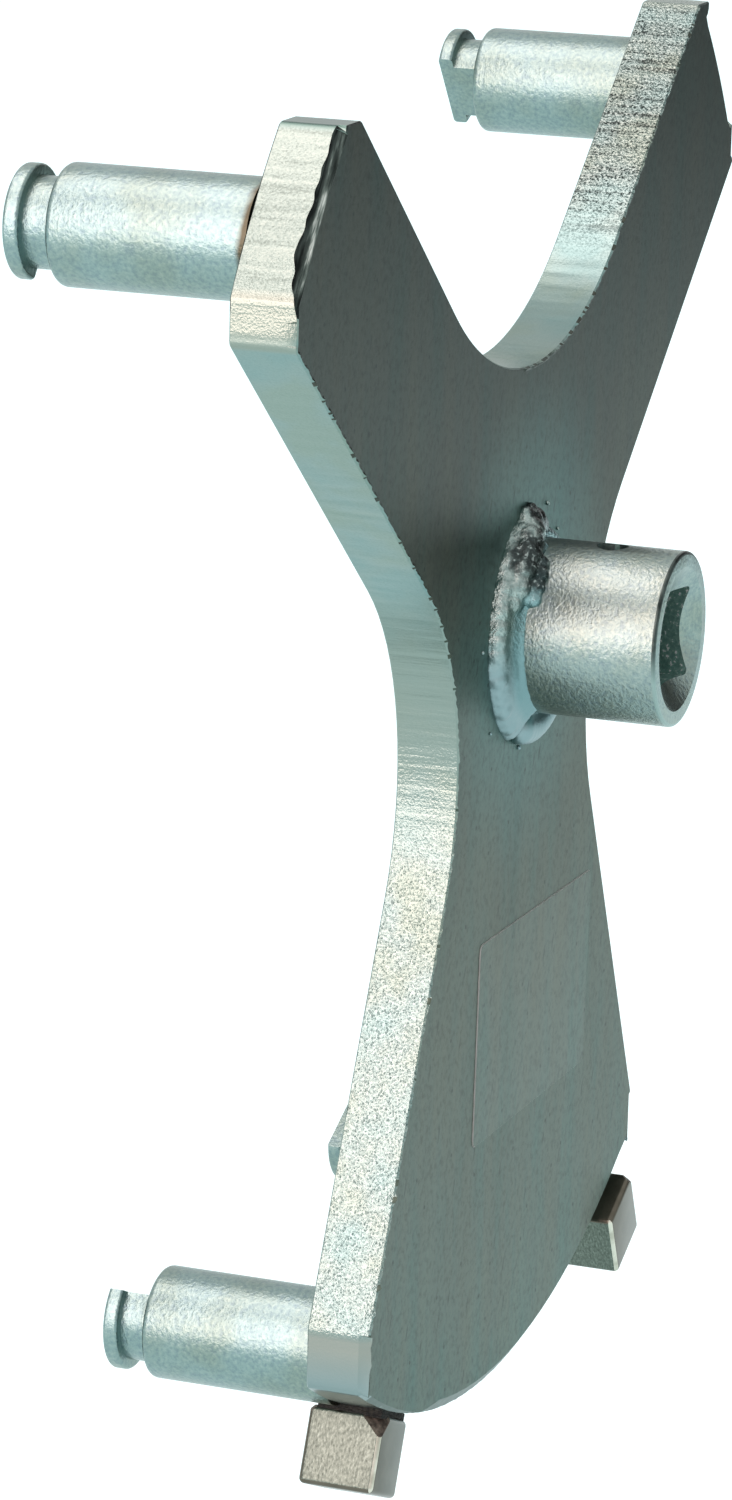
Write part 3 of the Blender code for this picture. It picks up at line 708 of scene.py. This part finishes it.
def flow_together(run, drops, passes, lumps, level=1.0):
    """Joins drops to their run, melts them into one skin and roughens it, more above a level."""
    join_to(run, drops)
    bpy.ops.object.transform_apply(location=True, rotation=True, scale=True)
    skin = run.modifiers.new("skin", "REMESH")
    skin.mode, skin.voxel_size = "VOXEL", weld_grain
    bpy.ops.object.modifier_apply(modifier="skin")
    melt = run.modifiers.new("melt", "SMOOTH")
    melt.factor, melt.iterations = melt_share, passes
    bpy.ops.object.modifier_apply(modifier="melt")
    upper = run.vertex_groups.new(name="upper")
    for vertex in run.data.vertices:
        share = clamped((vertex.co.z - level) / lump_fade + 0.5, least_lumps)
        upper.add([vertex.index], share, "REPLACE")
    for size, strength in lumps:
        clouds = bpy.data.textures.new("weld_lumps", "CLOUDS")
        clouds.noise_scale, clouds.noise_depth = size, 1
        rough = run.modifiers.new("rough", "DISPLACE")
        rough.texture, rough.texture_coords, rough.strength = clouds, "LOCAL", strength
        rough.mid_level, rough.vertex_group = 0.5, "upper"
        bpy.ops.object.modifier_apply(modifier="rough")
    run.vertex_groups.clear()
    bpy.ops.object.shade_smooth()


boss_outline = [
    (0.0121, 0.0005), (0.0121, -0.0041), (0.0131, -0.0031), (0.0144, -0.0024), (0.0158, -0.0019),
    (0.0169, -0.0011), (0.0175, 0.0001), (0.0172, 0.0005),
]
boss_outline = [(radius, plate_front + y) for radius, y in boss_outline]
left_run = fillet_run("boss_bead_left", boss_outline, 102, 243)
left_drops = []
for step in range(19):
    angle = 108 + 6.9 * step + 3.0 * noise.noise(Vector((step * 0.7, 3.0, 0.0)))
    swell = 0.0007 * noise.noise(Vector((step * 0.9, 0.0, 0.0))) + (0.0003 if angle < 190 else -0.0001)
    left_drops.append(
        drop(angle, 0.0157 - 0.4 * swell, plate_front - 0.0006, 0.0016 + swell, 0.0014 + swell)
    )
for angle, radius, y, reach, rise in (
    (107, 0.0146, -0.0012, 0.0026, 0.0023), (116, 0.0145, -0.0016, 0.0028, 0.0024),
    (126, 0.0143, -0.0018, 0.0028, 0.0026), (136, 0.0142, -0.0019, 0.0027, 0.0026),
    (146, 0.0140, -0.0018, 0.0025, 0.0024), (155, 0.0139, -0.0014, 0.0021, 0.0020),
    (126, 0.0129, -0.0038, 0.0015, 0.0016), (134, 0.0129, -0.0041, 0.0015, 0.0017),
    (143, 0.0128, -0.0042, 0.0013, 0.0016), (151, 0.0127, -0.0041, 0.0012, 0.0015),
    (99, 0.0150, -0.0006, 0.0026, 0.0019), (91, 0.0148, -0.0006, 0.0023, 0.0017),
    (84, 0.0142, -0.0007, 0.0017, 0.0014), (96, 0.0166, -0.0003, 0.0015, 0.0011),
    (104, 0.0166, -0.0004, 0.0018, 0.0013), (240, 0.0146, -0.0004, 0.0024, 0.0016),
):
    left_drops.append(drop(angle, radius, plate_front + y, reach, rise))
flow_together(left_run, left_drops, 3, ((0.0024, 0.0011), (0.0009, 0.0005)))

low_outline = [(radius, plate_front + (y - plate_front) * 0.55) for radius, y in boss_outline]
lower_run = fillet_run("boss_bead_lower", low_outline, 254, 292)
lower_drops = [drop(254 + 5 * step, 0.0149, plate_front - 0.0008, 0.0025, 0.0021) for step in range(9)]
flow_together(lower_run, lower_drops, 10, ((0.0024, 0.0002),))

right_run = fillet_run("boss_bead_right", boss_outline, 304, 386)
right_drops = [
    drop(304 + 8 * step, 0.0157, plate_front - 0.0005, 0.0015, 0.0014 + 0.0002 * (step % 2))
    for step in range(11)
]
right_drops += [
    drop(384 + 6 * step, 0.0129, plate_front - 0.0004, 0.0014, 0.0017) for step in range(11)
]
flow_together(right_run, right_drops, 5, ((0.0024, 0.0004),))

# A pin's bead is laid on the side that faces the hub. One is modelled there and copied.
pin_outline = [
    (0.0077, -0.0004), (0.0077, 0.0029), (0.0086, 0.0019), (0.0098, 0.0010), (0.0109, 0.0001),
    (0.0107, -0.0004),
]
pin_run = fillet_run("pin_bead", pin_outline, 102, 258)
pin_drops = [
    drop(104 + 9 * step, 0.0092, 0.0006, 0.0013, 0.0014 + 0.0002 * (step % 2)) for step in range(18)
]
flow_together(pin_run, pin_drops, 4, ((0.0024, 0.0003),), -0.02)

# Spatter flew off the left bead and froze on the plate round it.
spatter = [
    drop(angle, radius, plate_front - 0.0001, size, size)
    for angle, radius, size in (
        (67, 0.0176, 0.00034), (44, 0.0166, 0.00026), (261, 0.0178, 0.00034), (180, 0.0201, 0.00026),
        (219, 0.0201, 0.00022),
    )
]
join_to(left_run, spatter)
bpy.ops.object.shade_smooth()

# Zinc on the beads: coarse glittering grains at the top, pale blue and smooth below, and black
# where the left bead burnt.
zinc_weld, shader, place = new_finish("zinc_on_weld", "#8fa09c", 1.0, 0.30)
axes = add_node(zinc_weld, "SeparateXYZ", {}, {0: place})
grain = add_node(
    zinc_weld, "TexNoise", {"Scale": 1 / 0.0007, "Detail": 3.0, "Roughness": 0.65}, {"Vector": place}
)
grain_colour = add_node(
    zinc_weld, "ValToRGB", {"stops": [(0.34, "#7c8e8b"), (0.5, "#8fa09c"), (0.72, "#a6b3ae")]},
    {"Fac": grain},
)
lower = add_node(zinc_weld, "MapRange", {"From Min": 0.002, "From Max": -0.004}, {"Value": (axes, "Z")})
lower_colour = add_node(zinc_weld, "Mix", {7: "#869ea1"}, {0: lower, 6: grain_colour})
flat_place = add_node(zinc_weld, "CombineXYZ", {}, {"X": (axes, "X"), "Z": (axes, "Z")})
from_hub = add_node(zinc_weld, "VectorMath", {"operation": "LENGTH"}, {0: flat_place})
channel = add_node(
    zinc_weld, "MapRange", {"From Min": 0.0150, "From Max": 0.0138, "To Max": 0.8},
    {"Value": (from_hub, "Value")},
)
channel_colour = add_node(zinc_weld, "Mix", {7: "#719497"}, {0: channel, 6: (lower_colour, 2)})
burn_centre = add_node(
    zinc_weld, "VectorMath", {"operation": "DISTANCE", 1: (-0.0088, -0.0128, 0.0108)}, {0: place}
)
crown_centre = add_node(
    zinc_weld, "VectorMath", {"operation": "DISTANCE", 1: (-0.0005, -0.0105, 0.0165)}, {0: place}
)
nearer = add_node(
    zinc_weld, "Math", {"operation": "MINIMUM"}, {0: (burn_centre, "Value"), 1: (crown_centre, "Value")}
)
burn_noise = add_node(zinc_weld, "TexNoise", {"Scale": 1 / 0.0032, "Detail": 4.0}, {"Vector": place})
burn_reach = add_node(
    zinc_weld, "Math", {"operation": "MULTIPLY_ADD", 1: -0.005}, {0: burn_noise, 2: nearer}
)
burn = add_node(
    zinc_weld, "MapRange", {"From Min": 0.0022, "From Max": 0.0012, "To Max": 0.93},
    {"Value": burn_reach},
)
scale_colour = add_node(
    zinc_weld, "ValToRGB", {"stops": [(0.44, "#242a2a"), (0.56, "#3d4646"), (0.64, "#8e9a97")]},
    {"Fac": grain},
)
burnt = add_node(zinc_weld, "Mix", {}, {0: burn, 6: (channel_colour, 2), 7: scale_colour})
dulled = add_node(zinc_weld, "MapRange", {"To Min": 0.27, "To Max": 0.45}, {"Value": lower})
bump_depth = add_node(
    zinc_weld, "MapRange", {"From Min": -0.004, "From Max": 0.003, "To Min": 0.25},
    {"Value": (axes, "Z")},
)
bump = add_node(zinc_weld, "Bump", {"Distance": 0.00022}, {"Height": grain, "Strength": bump_depth})
link(zinc_weld, shader, {"Base Color": (burnt, 2), "Roughness": dulled, "Normal": bump})

for name, placed in copies_at_the_pins(pin_run, "pin_bead_"):
    placed.data.materials.append(zinc_weld)
    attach(placed, "wrench")
    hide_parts("pin_weld_" + name)
for side, bead in (("left", left_run), ("lower", lower_run), ("right", right_run)):
    bead.data.materials.append(zinc_weld)
    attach(bead, "wrench")
    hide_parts("socket_weld_" + side)

# A thin clear film lies on the foot, its print left off. The zinc shows through it a little
# lighter and glossier.
film_width, film_height, film_turn = 0.051, 0.030, radians(1.8)
corner_round, edge_round = 0.0012, 0.0001
film_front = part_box("label_film")[0].y
film_centre = (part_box("label_film")[0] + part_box("label_film")[1]) / 2
bpy.ops.object.select_all(action="DESELECT")
bpy.ops.mesh.primitive_cube_add(size=1.0)
film = bpy.context.object
film.name = "film"
film.scale = (film_width, plate_front - film_front, film_height)
settle(film)
bpy.ops.object.mode_set(mode="EDIT")
pick(film, "EDGE", lambda edge: edge.calc_length() < 0.0002)
bpy.ops.mesh.bevel(offset=corner_round, segments=5)
pick(film, "EDGE", lambda edge: max(vertex.co.y for vertex in edge.verts) < 0.0)
bpy.ops.mesh.bevel(offset=edge_round, segments=1)
bpy.ops.object.mode_set(mode="OBJECT")
film.rotation_euler = (0.0, film_turn, 0.0)
film.location = (film_centre.x, (plate_front + film_front) / 2, film_centre.z)
settle(film)

# Clear polyester over the zinc: it shows the zinc's colours, under a smoother skin. Its cut
# edge is painted pale, as painted light that keeps the edge from showing shade.
film_finish = zinc_face.copy()
film_finish.name = "clear_polyester_film"
film_finish.node_tree.nodes["Principled BSDF"].inputs["Roughness"].default_value = 0.42
film.data.materials.append(film_finish)


def mottled_finish(name, colour, metallic, roughness, patch, detail, stops):
    """A finish whose colour runs between the stops in patches of one size."""
    finish, shader, place = new_finish(name, colour, metallic, roughness)
    patches = add_node(finish, "TexNoise", {"Scale": 1 / patch, "Detail": detail}, {"Vector": place})
    patch_colour = add_node(finish, "ValToRGB", {"stops": stops}, {"Fac": patches})
    link(finish, shader, {"Base Color": patch_colour})
    return finish


# The edge's pale colour is painted light.
film_edge_painted_pale = mottled_finish(
    "clear_film_edge_painted_pale", "#c8d0cd", 0.0, 0.6, 0.003, 2.0, [(0.4, "#c0c9c5"), (0.6, "#d0d8d5")]
)
film.data.materials.append(film_edge_painted_pale)
for face in film.data.polygons:
    face.material_index = 0 if abs(face.normal.y) > 0.9 else 1
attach(film, "wrench")
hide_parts("label_film")

# The magnets are pressed and sintered cubes, tumbled to rounded edges and nickel plated. Each
# has a corner broken off, which bares the dark, crumbly core. A dark pad fills the gap where the
# left one touches the rim, as painted shadow.
magnet_side, magnet_round = 0.0111, 0.0008

# Nickel on most sides: a soft mirror, brown with wear, with a painted highlight on the front-left
# rounded edges.
polished = mottled_finish(
    "bright_nickel_plating", "#66665b", 1.0, 0.28, 0.004, 3.0, [(0.4, "#57544a"), (0.6, "#625e54")]
)
painted_edge_highlight = mottled_finish(
    "nickel_with_painted_edge_highlight", "#c4c2b3", 1.0, 0.28, 0.002, 3.0,
    [(0.4, "#b3b1a2"), (0.6, "#d0cec0")],
)

# Nickel on the left side: brushed, so its light is broken into a fine dull grain.
nickel, shader, place = new_finish("brushed_nickel_plating", "#626b62", 1.0, 0.30)
brush_place = add_node(
    nickel, "Mapping", {"Scale": (1 / 0.0003, 1 / 0.0003, 1 / 0.0009)}, {"Vector": place}
)
brushing = add_node(
    nickel, "TexNoise", {"Scale": 1.0, "Detail": 3.0, "Roughness": 0.6}, {"Vector": brush_place}
)
brush_colour = add_node(
    nickel, "ValToRGB",
    {"stops": [(0.30, "#454d46"), (0.45, "#59635b"), (0.55, "#626c63"), (0.70, "#748077")]},
    {"Fac": brushing},
)
bump = add_node(nickel, "Bump", {"Distance": 0.00006}, {"Height": brushing})
link(nickel, shader, {"Base Color": brush_colour, "Normal": bump})

# The core: sintered powder, dark, dull and crumbly.
core, shader, place = new_finish("sintered_magnet_core", "#4c443b", 0.3, 0.6)
crumbs = add_node(core, "TexNoise", {"Scale": 1 / 0.0009, "Detail": 4.0}, {"Vector": place})
crumb_colour = add_node(
    core, "ValToRGB", {"stops": [(0.35, "#4a453e"), (0.55, "#776f64"), (0.75, "#a09789")]},
    {"Fac": crumbs},
)
bump = add_node(core, "Bump", {"Distance": 0.0002}, {"Height": crumbs})
link(core, shader, {"Base Color": crumb_colour, "Normal": bump})

# A dark pad where the left magnet meets the rim: a fine dark fuzz, painted shadow in the gap.
shadow_pad_finish = mottled_finish(
    "dark_pad_painted_as_shadow", "#2b2d2b", 0.2, 0.8, 0.0005, 2.0, [(0.4, "#161716"), (0.65, "#363630")]
)


def finish_faces(piece, slot, wanted):
    """Gives the faces that pass a test the finish in this slot."""
    pick(piece, "FACE", wanted)
    piece.active_material_index = slot
    bpy.ops.object.material_slot_assign()


# Each magnet: its angle on the rim, its turn, its centre's radius and depth, and its broken
# corners, each a corner's signs and how deep the break reaches along its diagonal. The dark pad,
# painted shadow in the gap, is a slab with a rough skin, joined to the left magnet.
shadow_pad_size, shadow_pad_centre = (0.0106, 0.0096, 0.0015), (-0.0001, -0.0003, magnet_side / 2 + 0.0002)
for name, angle, turn, radius, depth, breaks in (
    ("left", radians(-111.3), radians(3.2), 0.119351, -0.0012,
     (((-1, -1, 1), 0.0021), ((-1, 1, 1), 0.0009))),
    ("right", radians(-64.0), radians(0.6), 0.118908, -0.0054, (((1, -1, 1), 0.0011),)),
):
    bpy.ops.object.select_all(action="DESELECT")
    bpy.ops.mesh.primitive_cube_add(size=magnet_side)
    magnet = bpy.context.object
    magnet.name = "cube_magnet_" + name
    for finish in (nickel, core, polished, shadow_pad_finish, painted_edge_highlight):
        magnet.data.materials.append(finish)
    bpy.ops.object.mode_set(mode="EDIT")
    bpy.ops.mesh.select_all(action="SELECT")
    bpy.ops.mesh.bevel(offset=magnet_round, segments=5)
    for signs, reach in breaks:
        corner = Vector(signs) * magnet_side / 2
        slope = corner.normalized()
        bpy.ops.mesh.select_all(action="SELECT")
        bpy.ops.mesh.bisect(
            plane_co=corner - slope * reach, plane_no=slope, use_fill=True, clear_outer=True
        )
        finish_faces(magnet, 1, lambda face: face.normal.dot(slope) > 0.999)
    finish_faces(magnet, 2, lambda face: face.material_index == 0 and face.normal.x > -0.97)
    # The front-left rounded edges take a pale nickel: painted highlight.
    finish_faces(magnet, 4, lambda face: face.material_index == 2 and face.normal.x < -0.3
                 and face.normal.y < -0.2)
    bpy.ops.object.mode_set(mode="OBJECT")
    # The dark pad at the rim is painted shadow.
    if name == "left":
        bpy.ops.object.select_all(action="DESELECT")
        bpy.ops.mesh.primitive_cube_add(size=1.0)
        shadow_pad = bpy.context.object
        shadow_pad.scale, shadow_pad.location = shadow_pad_size, shadow_pad_centre
        settle(shadow_pad)
        shadow_pad.data.materials.append(shadow_pad_finish)
        bpy.ops.object.mode_set(mode="EDIT")
        bpy.ops.mesh.select_all(action="SELECT")
        bpy.ops.mesh.subdivide(number_cuts=18)
        bpy.ops.mesh.vertices_smooth(factor=0.5, repeat=1)
        bpy.ops.transform.vertex_random(offset=0.00012, seed=4)
        bpy.ops.object.mode_set(mode="OBJECT")
        join_to(magnet, [shadow_pad])
    magnet.rotation_euler = (0.0, turn - pi / 2 - angle, 0.0)
    magnet.location = (radius * cos(angle), depth, radius * sin(angle))
    settle(magnet)
    bpy.ops.object.shade_smooth_by_angle(angle=smooth_angle)
    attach(magnet, name + "_magnet")
    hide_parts("magnet_" + name)

# The floor is pale card, far enough down for a magnet that is pulled off. A camera, glossy or
# transmitted ray sees it brighter than the lamps make it, and more so away from the wrench, so
# it shows white and keeps the shadow.
pull_room, floor_size = 0.0165, 30.0


def seen_rays(finish):
    """Gives 1 to camera, glossy and transmitted rays, and 0 to the rest."""
    rays = add_node(finish, "LightPath", {}, {})
    seen = add_node(
        finish, "Math", {"operation": "MAXIMUM"},
        {0: (rays, "Is Camera Ray"), 1: (rays, "Is Glossy Ray")},
    )
    return add_node(
        finish, "Math", {"operation": "MAXIMUM"}, {0: seen, 1: (rays, "Is Transmission Ray")}
    )


floor_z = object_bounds()[0][2] - pull_room
bpy.ops.object.select_all(action="DESELECT")
bpy.ops.mesh.primitive_plane_add(size=floor_size, location=(0.0, 0.0, floor_z))
floor = bpy.context.object
floor.name = "floor"
card, shader, place = new_finish("pale_card", "#9fa1a2", 0.0, 0.9)
shader.inputs["Specular IOR Level"].default_value = 0.0
shader.inputs["Emission Color"].default_value = (0.93, 1.16, 1.18, 1.0)
away = add_node(card, "VectorMath", {"operation": "LENGTH"}, {0: place})
glow = add_node(
    card, "MapRange",
    {"interpolation_type": "SMOOTHSTEP", "From Min": 0.1, "From Max": 1.3, "To Min": 0.9},
    {"Value": (away, "Value")},
)
seen_glow = add_node(card, "Math", {"operation": "MULTIPLY"}, {0: seen_rays(card), 1: glow})
link(card, shader, {"Emission Strength": seen_glow})
floor.data.materials.append(card)

# A black card stands outside the picture, where the plate's front face mirrors it. It keeps
# the front face darker than the sides.
card_size, card_place, card_facing = 0.9, (1.0, -0.52, floor_z + 0.46), Vector((-1.0, 0.42, 0.0))
bpy.ops.mesh.primitive_plane_add(size=1.0, location=card_place)
black_card = bpy.context.object
black_card.name = "black_card"
black_card.scale = (card_size, card_size, 1.0)
black_card.rotation_euler = card_facing.to_track_quat("Z", "Y").to_euler()
black_card.data.materials.append(new_finish("black_card", "#141414", 0.0, 0.8)[0])
black_card.visible_camera = False

# The studio's background is white to the same rays as the floor, and dim to the rest.
world = bpy.data.worlds.new("studio")
world.use_nodes = True
bpy.context.scene.world = world
backdrop = world.node_tree.nodes["Background"]
level = add_node(world, "MapRange", {"To Min": 0.35}, {"Value": seen_rays(world)})
backdrop.inputs["Color"].default_value = (1.0, 1.0, 1.0, 1.0)
link(world, backdrop, {"Strength": level})

# Two softboxes, a little warm: one hangs overhead and one stands low on the left. Along the
# boss and the pins they show as two bright bands with a dip between them.
lamp_colour = (1.0, 0.74, 0.73)
for name, place, width, height, power in (
    ("softbox_overhead", (-0.10, 0.33, 0.94), 0.84, 0.70, 7.2),
    ("softbox_left", (-0.85, 0.25, 0.35), 0.84, 1.00, 11.5),
):
    lamp_data = bpy.data.lights.new(name, "AREA")
    lamp_data.shape, lamp_data.size, lamp_data.size_y = "RECTANGLE", width, height
    lamp_data.energy, lamp_data.color = power, lamp_colour
    lamp = new_object(name, lamp_data)
    lamp.location = place
    lamp.rotation_euler = (-lamp.location).to_track_quat("-Z", "Y").to_euler()

# The camera stands to the left of the wrench and looks along the plate, a little down. Its
# numbers were solved from the plate's outline.
yaw, pitch, roll, focal_px = 1.2267653, 0.2492190, 0.0252139, 5379.63
axis_px, wide_px, long_px, sensor = (381.286, 738.205), 732, 1500, 36.0
camera_place, camera_near = (-0.7092924, -0.2413742, 0.1724802), 0.02
forward = Vector((sin(yaw) * cos(pitch), cos(yaw) * cos(pitch), -sin(pitch)))
level_right = forward.cross(Vector((0.0, 0.0, 1.0))).normalized()
level_up = level_right.cross(forward)
right = level_right * cos(roll) + level_up * sin(roll)
up = level_up * cos(roll) - level_right * sin(roll)
camera_data = bpy.data.cameras.new("camera")
camera_data.sensor_width, camera_data.lens = sensor, focal_px * sensor / long_px
camera_data.shift_x = (wide_px / 2 - axis_px[0]) / long_px
camera_data.shift_y = (axis_px[1] - long_px / 2) / long_px
camera_data.clip_start = camera_near
camera = new_object("camera", camera_data)
turn = Matrix((right, up, -forward)).transposed().to_4x4()
camera.matrix_world = Matrix.Translation(camera_place) @ turn
bpy.context.scene.camera = camera
bpy.context.scene.view_settings.view_transform = "Standard"
